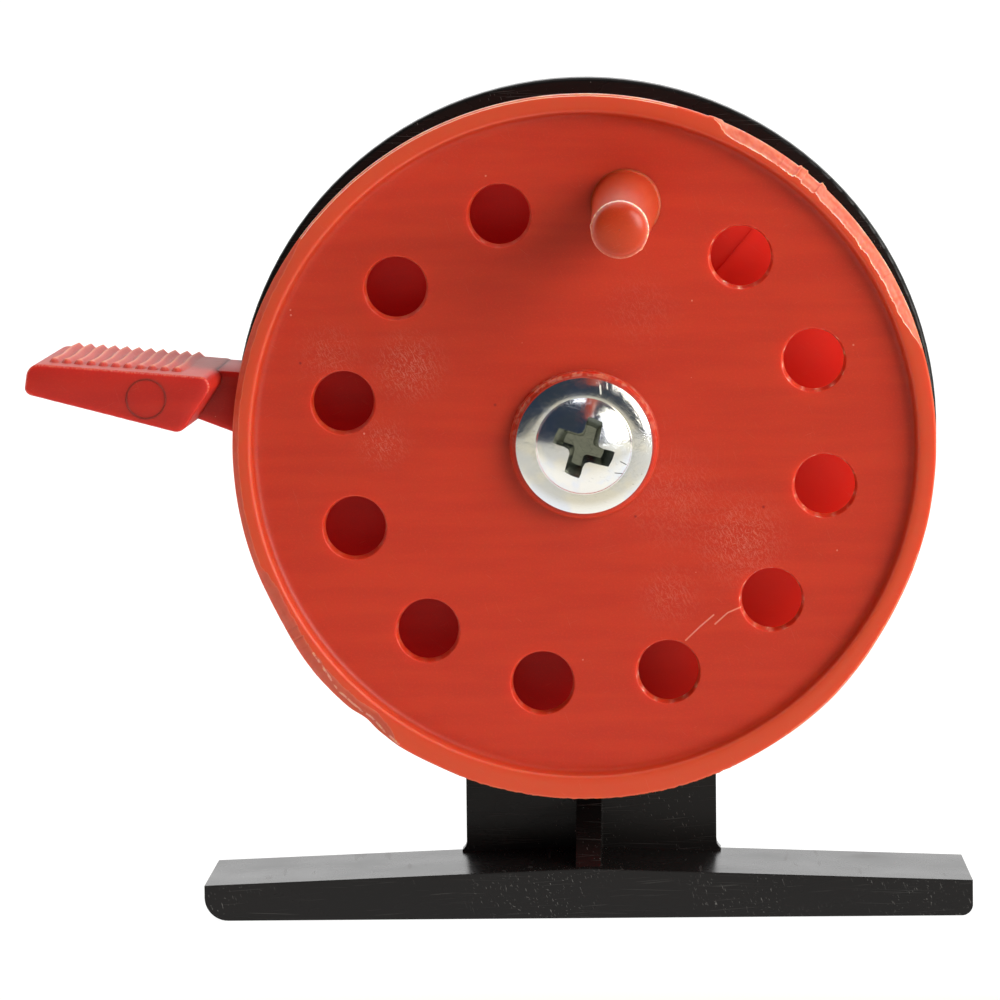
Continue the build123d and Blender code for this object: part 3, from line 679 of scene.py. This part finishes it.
def rim_column(angle):
    """Lip outline at one angle, scraped and ragged as found, with how pale each point is."""
    width, pale = scrape_at(angle)
    outer = FLANGE_R + rim_outside(angle)
    depth = max(0.07, width * 0.9)
    dent = 0.012 * rough(angle * 14, 6) + 0.008 * rough(angle * 50, 8)
    column = [(22.8, LIP_HEIGHT)]
    for r, y in ((23.1, 0.935), (23.28, 0.89), (23.42, 0.8), (23.52, 0.66), (23.6, 0.42), (23.66, 0.2),
                 (23.72, 0.09), (23.8, 0.025), (23.9, 0.0)):
        column.append((r + dent, y + 0.6 * dent))
    wear = [0.0] * len(column)
    wear[-4:-1] = [0.04, 0.16 + 0.1 * rough(angle * 30, 12), 0.08]
    shoulder = outer - width
    for part in (0.35, 0.7, 0.94):
        column.append((23.9 + (shoulder - 23.9) * part, 0.008 * rough(angle * 25, part * 5)))
        wear.append(0.02)
    for part in range(7):
        t = part / 6
        scratch = 0.066 * width * rough(angle * 22, t * 5.5) if 0 < part < 6 else 0.0
        column.append((shoulder + (outer - shoulder) * t, depth * t ** 1.15 + scratch))
        streak = 0.5 + 0.5 * rough(angle * 16, t * 7) + 0.35 * rough(angle * 90, t * 9)
        edge = 0.75 if part == 0 else (0.5 if part == 6 else 0.0)
        wear.append(min(1, pale * max(0.25, streak * 1.15) + edge * pale * 1.3))
    back = (outer - FLANGE_R) * 0.9
    fin = max(0, rim_outside(angle)) * 0.4
    for r, y in ((24.98, 1.05), (24.93, 1.5), (24.9 + fin, 1.75), (24.83, 2.05), (24.72, 2.22),
                 (24.6, 2.25)):
        column.append((min(r + back, outer), max(y, depth + 0.05)))
        wear.append(pale * 0.3)
    return column, wear


def spool_body():
    """Whole spool in one skin: boss, face, lip, back, arbor, hub tube and bore."""
    web_back = LIP_HEIGHT + WEB_T
    boss = LIP_HEIGHT - BOSS_T
    front = [(BORE_R, boss), (BOSS_R - 0.22, boss), (BOSS_R - 0.08, boss + 0.04), (BOSS_R, boss + 0.15),
             (BOSS_R + 0.03, LIP_HEIGHT - 0.12), (BOSS_R + 0.12, LIP_HEIGHT - 0.02),
             (BOSS_R + 0.25, LIP_HEIGHT), (10, LIP_HEIGHT), (14, LIP_HEIGHT), (20.5, LIP_HEIGHT)]
    end = SPOOL_HIGH.y - LIP_Y
    rear = [(20.5, web_back), (ARBOR_R + 0.3, web_back), (ARBOR_R, web_back + 0.3),
            (ARBOR_R, web_back + LINE_SPACE - 0.02), (ARBOR_R - 1.2, web_back + LINE_SPACE - 0.02),
            (ARBOR_R - 1.2, web_back), (HUB_TUBE_R + 0.2, web_back), (HUB_TUBE_R, web_back + 0.2),
            (HUB_TUBE_R, end - 0.15), (HUB_TUBE_R - 0.15, end), (BORE_R, end)]
    columns, wears = [], []
    for i in range(RIM_STEPS):
        angle = TURN * i / RIM_STEPS
        rim, wear = rim_column(angle)
        columns.append([about_axle(r, angle, LIP_Y + y) for r, y in front + rim + rear])
        wears.append([0.0] * len(front) + wear + [0.0] * len(rear))
    return grid_mesh(columns, close_rows=True, wears=wears)


def hole_cutter(x, dz):
    """Tapered hole with a slightly broken front edge."""
    face, back = LIP_Y + LIP_HEIGHT, LIP_Y + LIP_HEIGHT + WEB_T
    return lathe([
        (0, face - 1), (HOLE_FRONT_R + 1, face - 1), (HOLE_FRONT_R + 0.07, face - 0.004),
        (HOLE_FRONT_R + 0.02, face + 0.03), (HOLE_FRONT_R - 0.01, face + 0.09),
        (HOLE_BACK_R + 0.02, back - 0.1), (HOLE_BACK_R, back + 0.5), (0, back + 0.5)], 96, x, dz)


def line_hole_cutter():
    """Drill for the small hole in the arbor that the line is tied through."""
    drill = bmesh.new()
    radius = LINE_HOLE_R * MM
    bmesh.ops.create_cone(drill, cap_ends=True, segments=32, radius1=radius, radius2=radius, depth=5 * MM)
    aim = Matrix.Rotation(math.radians(LINE_HOLE_TURN), 4, "Y") @ Matrix.Translation((0, 0, ARBOR_R * MM))
    middle = LIP_Y + LIP_HEIGHT + WEB_T + LINE_SPACE / 2
    place = Matrix.Translation(Vector((0, middle, AXLE_Z)) * MM)
    bmesh.ops.transform(drill, matrix=place @ aim, verts=drill.verts)
    return drill


def add_spool(material):
    cutters = [line_hole_cutter()]
    for index in range(1, POSITIONS):
        angle = KNOB_ANGLE + TURN * index / POSITIONS
        cutters.append(hole_cutter(HOLE_RING_R * math.cos(angle), HOLE_RING_R * math.sin(angle)))
    bm = cut_from(spool_body(), cutters)
    return add_piece(bm, "spool_front_worn", material, "spool", "spool_front", 28)


# ---- knob ----
# Burrs on the ring round the tip: angle and spread in degrees.
KNOB_BURRS = ((172, 5), (318, 4))
# Turn of the peg about the vertical in degrees, which takes its tip to the left.
KNOB_LEAN = -0.75


def add_knob(material):
    """Peg with a scuffed ring round its tip, leaning very slightly."""
    face = LIP_Y + LIP_HEIGHT
    length = face - KNOB_TIP_Y
    x = HOLE_RING_R * math.cos(KNOB_ANGLE)
    dz = HOLE_RING_R * math.sin(KNOB_ANGLE)
    profile = [(0, 0.8), (2.0, 0.8), (2.2, 0.02), (2.5, 0.0), (2.49, -0.06), (2.45, -0.15), (2.38, -0.3),
               (2.345, -0.6)]
    profile += [(2.34 - 0.34 * k / 24, -0.8 - (length - 1.95) * k / 24) for k in range(25)]
    shoulder = -(length - 0.95)
    profile += [(1.995, shoulder - 0.02), (1.96, shoulder - 0.09), (1.9, shoulder - 0.15)]
    for k in range(1, 19):
        angle = math.pi / 2 * k / 18
        radius = 1.86 * math.cos(angle) ** 0.92 if k < 18 else 0
        profile.append((radius, shoulder - 0.18 - 0.76 * math.sin(angle)))
    lean = Matrix.Rotation(math.radians(KNOB_LEAN), 3, "Z")
    steps = 240
    columns, wears = [], []
    for i in range(steps):
        angle = TURN * i / steps
        column, wear = [], []
        for r, y in profile:
            ring = max(0, 1 - abs(y - shoulder + 0.07) / 0.16)
            ragged = ring * (0.035 * rough(angle * 6, 3) + 0.03 * rough(angle * 25, 8) + 0.02)
            burr = ring * 0.09 * sum(
                math.exp(-((math.degrees(angle) - place) / spread) ** 2) for place, spread in KNOB_BURRS)
            radius = r + (ragged + burr if r > 1.5 else 0) + 0.004 * rough(angle * 5, y * 2)
            point = Vector((radius * math.cos(angle), y, radius * math.sin(angle)))
            column.append(lean @ point + Vector((x, face, AXLE_Z + dz)))
            top = 0.85 + 0.35 * math.sin(angle + 0.4) + 0.5 * rough(angle * 7, 4)
            foot = 0.3 * max(0, 1 - abs(y + 0.3) / 0.3) * max(0, math.cos(angle - 0.2))
            wear.append(min(1, max(0, ring * top) + (foot if r > 2 else 0)))
        columns.append(column)
        wears.append(wear)
    bm = grid_mesh(columns, wears=wears)
    return add_piece(bm, "handle_knob_worn", material, "spool", "handle_knob", 40)


# ---- axle screw ----
# The nick on the washer and the dark slips of a driver beside the recess, from the axle.
WASHER_NICK = ((1.2, 4.3), (1.24, 3.75))
DRIVER_SLIPS = (((2.58, -1.05), (2.98, -1.3)), ((2.18, -1.87), (2.68, -1.95)))
WASHER_T = 0.8
DOME_R = 3.38
DOME_HEIGHT = 1.12
RECESS_DEPTH = 1.75
RECESS_TURN = 66
THREAD_PITCH = 0.7
THREAD_DEPTH = 0.34
THREAD_R = 1.97
THREAD_LENGTH = 7.4


def cross_cutter(front, depth):
    """Cross recess: flared arms, broken inner corners, sides drafted to a small pit."""
    steps = ((0, 1.0, 1.0), (0.1, 0.965, 0.93), (0.45, 0.93, 0.86), (0.9, 0.82, 0.74), (depth, 0.62, 0.52))
    quarter = ((2.3, -0.66), (2.33, -0.4), (2.36, 0.0), (2.33, 0.4), (2.3, 0.66), (1.9, 0.63),
               (1.35, 0.53), (1.0, 0.57), (0.8, 0.8))
    columns = []
    for down, reach, width in ((-2.0, 1.0, 1.0),) + steps:
        ring = []
        for arm in range(4):
            turn = Matrix.Rotation(math.radians(RECESS_TURN + 90 * arm), 2)
            for x, z in quarter:
                at_corner = abs(x - z) < 0.1
                point = turn @ Vector((x * reach, z * (reach if at_corner else width)))
                ring.append(Vector((point.x, front + down, AXLE_Z + point.y)))
        columns.append(ring)
    return grid_mesh(columns, close_rows=True, close_columns=False, caps=True)


def add_screw(material):
    """Washer-head screw: domed head on a slightly dished washer, helical thread."""
    seat = SEAT_Y
    washer = seat - WASHER_T
    tip = SCREW_HIGH.y
    ball = (DOME_R ** 2 + DOME_HEIGHT ** 2) / (2 * DOME_HEIGHT)
    head = [(0, seat + 0.4), (1.9, seat + 0.4), (1.9, seat), (4.8, seat), (4.92, seat - 0.08),
            (4.95, seat - 0.2), (4.94, seat - 0.3), (4.89, seat - 0.37)]
    head += [(4.84 - 1.39 * k / 14, washer + 0.32 * (1 - k / 14) ** 2.1) for k in range(15)]
    head += [(3.4, washer - 0.03)]
    for k in range(25):
        r = DOME_R * (1 - k / 24)
        head.append((r, washer - 0.06 - (math.sqrt(ball ** 2 - r ** 2) - ball + DOME_HEIGHT) * 0.98))
    body = lathe(head, 256)
    body = cut_from(body, [cross_cutter(washer - 1.16, RECESS_DEPTH)])
    rows = 150
    columns = []
    for i in range(96):
        angle = TURN * i / 96
        column = []
        for j in range(rows + 1):
            y = seat + 0.2 + (tip - seat - 0.2) * j / rows
            phase = (y / THREAD_PITCH + i / 96) % 1
            groove = max(0, 1 - abs(phase - 0.5) / 0.42) * THREAD_DEPTH
            cut = groove * smooth(y, tip - THREAD_LENGTH, tip - THREAD_LENGTH + 0.8)
            taper = 0.45 * smooth(y, tip - 0.5, tip)
            column.append(about_axle(THREAD_R - min(cut + taper, 0.6), angle, y))
        column.append(about_axle(0, angle, tip))
        columns.append(column)
    shank = grid_mesh(columns)
    whole = joined([body, shank])
    return add_piece(whole, "axle_screw_threaded", material, "reel_frame", "axle_screw", 30)


# ---- lever ----
PAD_FRONT_Y = LEVER_LOW.y
PAD_BACK_Y = LEVER_HIGH.y
PAD_SKEW = math.tan(math.radians(4.5))
PAD_SLOPE = math.tan(math.radians(4.9))
PAD_FALL = 0.17
PAD_LEFT_X, PAD_TOP_DZ = -39.2, 6.51
PAD_RIGHT_X = -25.77
RIDGES = 11
RIDGE_PITCH = 0.866
RIDGE_FIRST_X = -37.67
RIDGE_FRONT_Y = -8.3
RIDGE_HALF = 0.42
RIDGE_HEIGHT = 0.36
BEAD_HEIGHT = 0.33
# The pad's lowest corner and its ejector-pin mark, from the axle.
PAD_LOW_RIGHT = (-28.42, 1.44)
EJECTOR_X, EJECTOR_DZ, EJECTOR_R = -30.87, 3.92, 1.385
# The arm outside the spool, from the axle, with its corner radii; its inner side is an arc.
ARM_CORNERS = ((-28.6, 1.63, 0.3), (-28.6, 5.45, 0.2), (-24.2, 5.11, 0.15))
ARM_INNER_R = 24.2
ARM_INNER_FROM, ARM_INNER_TO = 167.6, 178.8
ARM_FRONT_Y = -4.2
# The thin blade behind the spool, out to the arm and in to the brake shoe.
BLADE_X, BLADE_DZ, BLADE_R = -25.6, 2.95, 1.95
PIVOT_R = 2.9
BRAKE_ROOT_R, BRAKE_TIP_R = 2.2, 1.3
PIVOT_BORE_R = 1.3
SHOE_BACK_R = 12.1
SHOE_ANGLE = 202
SHOE_SPAN = 24


def pad_top(x):
    """Height of the pad's top above the axle."""
    return PAD_TOP_DZ - PAD_SLOPE * (x - PAD_LEFT_X)


def ridge_height(x, y):
    """Height of the thumb ridges over the pad: peaked along it, a round bead at the front."""
    if y < RIDGE_FRONT_Y - 0.3:
        return 0.0
    sway = 0.1 * math.sin((y - RIDGE_FRONT_Y) / (PAD_BACK_Y - RIDGE_FRONT_Y) * TURN)
    index = round((x - sway - RIDGE_FIRST_X) / RIDGE_PITCH)
    if index < 0 or index >= RIDGES:
        return 0.0
    across = (x - sway - RIDGE_FIRST_X - index * RIDGE_PITCH) / RIDGE_HALF
    along = min(0, (y - RIDGE_FRONT_Y) / 0.3)
    crest = RIDGE_HEIGHT * max(0, 1 - math.sqrt(across ** 2 + 0.01)) ** 1.2
    bead = BEAD_HEIGHT * max(0, 1 - (across / 0.75) ** 2 - along ** 2) ** 0.6
    front = smooth(-y, -RIDGE_FRONT_Y - 1.1, -RIDGE_FRONT_Y - 0.1)
    return crest * (1 - front) + bead * front


def thumb_pad():
    """Pad with its ridges on a skewed top, pale over the top and more so on the crests, and pale where the
    upper edges are chafed.
    """
    outline = rounded([
        (PAD_LEFT_X - 0.3, PAD_TOP_DZ - 2.14, 0.55), (PAD_LEFT_X, PAD_TOP_DZ, 0.9),
        (PAD_RIGHT_X, pad_top(PAD_RIGHT_X), 0.75), (*PAD_LOW_RIGHT, 0.8)], 14)
    outline = spaced(outline, 0.055)
    depths = [(0, 0.17), (0.03, 0.09), (0.09, 0.03), (0.17, 0)]
    depths += [(0.17 + (PAD_BACK_Y - PAD_FRONT_Y - 0.2) * k / 110, 0) for k in range(1, 111)]
    depths += [(PAD_BACK_Y - PAD_FRONT_Y, 0.03)]
    rings, wears = [], []
    for depth, cut in depths:
        y = PAD_FRONT_Y + depth
        fall = PAD_FALL * depth / (PAD_BACK_Y - PAD_FRONT_Y)
        ring, wear = [], []
        for here in inset(outline, cut):
            on_top = here.y > pad_top(here.x) - 0.02 - cut
            lift = ridge_height(here.x, y) if on_top else 0.0
            lift += 0.012 * rough(here.x * 2, y * 2, here.y * 2)
            ring.append(Vector((here.x + depth * PAD_SKEW, y, AXLE_Z + here.y + lift - fall)))
            chafe = 0.4 + 0.9 * rough(here.x * 9, here.y * 9, 3) + 0.5 * rough(here.x * 40, here.y * 30, 5)
            on_crest = 0.1 + 0.5 * smooth(lift, 0.2, 0.34) if on_top and depth > 0.1 else 0.0
            on_edge = max(0, min(0.5, chafe * 0.4)) if 0.01 < cut < 0.1 and here.y > 4.3 else 0.0
            wear.append(max(on_edge, on_crest))
        rings.append(ring)
        wears.append(wear)
    return grid_mesh(rings, close_rows=True, close_columns=False, caps=True, wears=wears)


def ejector_ring(x, dz, radius, y, width=0.05, stand=0.035):
    """Thin raised ring left by a mould's ejector pin."""
    section = ((radius - width, y + 0.05), (radius - width * 0.7, y - stand * 0.6), (radius, y - stand),
               (radius + width * 0.7, y - stand * 0.6), (radius + width, y + 0.05))
    columns = []
    for i in range(96):
        angle = TURN * i / 96
        columns.append([about_axle(r, angle, depth) + Vector((x, 0, dz)) for r, depth in section])
    return grid_mesh(columns, close_rows=True)


def lever_arm():
    """Thick arm outside the spool."""
    outline = rounded(ARM_CORNERS, 4)
    for k in range(9):
        angle = math.radians(ARM_INNER_FROM + (ARM_INNER_TO - ARM_INNER_FROM) * k / 8)
        outline.append(Vector((ARM_INNER_R * math.cos(angle), ARM_INNER_R * math.sin(angle))))
    return prism(spaced(outline, 0.3), ARM_FRONT_Y, PAD_BACK_Y - 0.03, 0.13)


def bar(x0, z0, r0, x1, z1, r1):
    """Clockwise outline of a bar with two round ends."""
    start, end = Vector((x0, z0)), Vector((x1, z1))
    aim = math.atan2(z1 - z0, x1 - x0)
    lean = math.acos((r0 - r1) / (end - start).length)
    points = []
    for k in range(25):
        angle = aim + lean - (2 * lean) * k / 24
        points.append(end + r1 * Vector((math.cos(angle), math.sin(angle))))
    for k in range(25):
        angle = aim - lean - (TURN - 2 * lean) * k / 24
        points.append(start + r0 * Vector((math.cos(angle), math.sin(angle))))
    return points


def add_lever(material):
    """Thumb pad, arm, blade and brake arm, bored for the pin and with a seat for the shoe."""
    pivot_low, pivot_high = box_mm("lever_pivot_pin")
    pivot_x = (pivot_low.x + pivot_high.x) / 2
    pivot_dz = (pivot_low.z + pivot_high.z) / 2 - AXLE_Z
    blade_y = pivot_low.y + 0.55
    hold = math.radians(SHOE_ANGLE)
    tip = Vector((math.cos(hold), math.sin(hold))) * (SHOE_BACK_R + 1.1)
    blade_bar = bar(BLADE_X, BLADE_DZ, BLADE_R, pivot_x, pivot_dz, PIVOT_R)
    blade = prism(blade_bar, blade_y, PAD_BACK_Y - 0.015, 0.1)
    brake_bar = bar(pivot_x, pivot_dz, BRAKE_ROOT_R, tip.x, tip.y, BRAKE_TIP_R)
    brake = prism(brake_bar, blade_y + 0.02, PAD_BACK_Y - 0.045, 0.1)
    saddle = []
    for radius, order in ((SHOE_BACK_R + 1.3, 1), (SHOE_BACK_R, -1)):
        arc = [math.radians(SHOE_ANGLE + SHOE_SPAN / 2 - SHOE_SPAN * k / 16) for k in range(17)]
        saddle += [radius * Vector((math.cos(a), math.sin(a))) for a in arc[::order]]
    seat = prism(saddle, blade_y + 0.01, PAD_BACK_Y - 0.06, 0.05)
    pin = prism(circle(pivot_x, pivot_dz, PIVOT_BORE_R), blade_y - 1, PAD_BACK_Y + 1, 0.01)
    pin_too = pin.copy()
    drum = prism(circle(0, 0, SHOE_BACK_R, 128), blade_y - 1, PAD_BACK_Y + 1, 0.01)
    mark = ejector_ring(EJECTOR_X, EJECTOR_DZ, EJECTOR_R, PAD_FRONT_Y)
    parts = [thumb_pad(), mark, lever_arm(), cut_from(blade, [pin]), cut_from(brake, [pin_too, drum]), seat]
    return add_piece(joined(parts), "lever_ridged", material, "thumb_lever", "lever", 34)


# ---- build ----
# Lights: places and sizes in metres, powers in watts.
KEY_PLACE = (0.63, -0.46, 0.36)
KEY_SIZE = 0.56
KEY_POWER = 8.3
KEY_COLOUR = (1, 0.975, 0.93)
TOP_PLACE = (-0.03, -0.2, 0.64)
TOP_SIZE = 0.24
TOP_POWER = 0.4
TOP_COLOUR = (1, 1, 1)
# Each red has a second shade for its mottle. The rim's and the knob's reds are more orange as painted
# light;
# the inner flange's red is a deeper crimson as painted shade, and lighter and more orange to the right as
# painted light from the key.
FACE_RED, FACE_SHADE, RIM_PAINTED_LIT_RED = (0.545, 0.036, 0.0095), (0.505, 0.03, 0.0085), (0.6, 0.066, 0.017)
KNOB_PAINTED_LIT_RED, KNOB_SHADE = (0.53, 0.055, 0.013), (0.49, 0.049, 0.012)
INNER_PAINTED_SHADE_RED, INNER_SHADE, INNER_PAINTED_LIT_RIGHT = (0.66, 0.008, 0.007), (0.61, 0.007, 0.006), (0.86, 0.03, 0.015)
LEVER_RED, LEVER_SHADE = (0.5, 0.019, 0.009), (0.46, 0.015, 0.008)
ZINC_COOL, ZINC_WARM = (0.74, 0.77, 0.82), (0.84, 0.83, 0.77)
STEEL_COOL, STEEL_WARM = (0.6, 0.6, 0.62), (0.62, 0.6, 0.57)
NYLON, NYLON_SHADE = (0.78, 0.76, 0.7), (0.7, 0.68, 0.6)
RUBBER, RUBBER_SHADE = (0.05, 0.05, 0.05), (0.03, 0.03, 0.03)
ZINC_ROUGHNESS, ZINC_SCRATCH = 0.1, 0.0008

bpy.context.scene.view_settings.view_transform = "Standard"
add_camera()
area_light("key", KEY_PLACE, KEY_SIZE, KEY_POWER, KEY_COLOUR)
area_light("top", TOP_PLACE, TOP_SIZE, TOP_POWER, TOP_COLOUR)
add_world()
add_floor(floor_paint())

red_face = red_plastic("red_plastic_worn", FACE_RED, FACE_SHADE, warm=RIM_PAINTED_LIT_RED)
# Painted light: the knob's red is more orange, as lit red plastic looks.
red_knob_painted_lit = red_plastic("red_plastic_knob_painted_lit", KNOB_PAINTED_LIT_RED, KNOB_SHADE, roughness=0.27)
red_inner_painted_shade = red_plastic("red_plastic_inner_painted_shade", INNER_PAINTED_SHADE_RED, INNER_SHADE, right=INNER_PAINTED_LIT_RIGHT)
red_lever = red_plastic("lever_plastic_satin", LEVER_RED, LEVER_SHADE, roughness=0.46)
zinc = metal("zinc_plate", ZINC_COOL, ZINC_WARM, ZINC_ROUGHNESS, ZINC_SCRATCH)
scarred_recess_shaded = metal(
    "zinc_plate_scarred_recess_shaded", ZINC_COOL, ZINC_WARM, ZINC_ROUGHNESS, ZINC_SCRATCH, WASHER_NICK, DRIVER_SLIPS)
steel = metal("turned_steel", STEEL_COOL, STEEL_WARM, 0.22, 0.002)
add_spool(red_face)
add_knob(red_knob_painted_lit)
add_screw(scarred_recess_shaded)
add_lever(red_lever)
for node, material in (
        ("frame", black_plastic()), ("spool_rear", red_inner_painted_shade), ("axle_sleeve", steel), ("axle_nut", zinc),
        ("lever_pivot_pin", steel), ("pivot_retainer", steel), ("lever_spring", steel),
        ("thrust_washer", matt("natural_nylon", NYLON, NYLON_SHADE, 0.5, 0.6)),
        ("brake_shoe", matt("shoe_rubber", RUBBER, RUBBER_SHADE, 0.75, 0.25))):
    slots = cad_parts[node].data.materials
    slots.clear()
    slots.append(material)
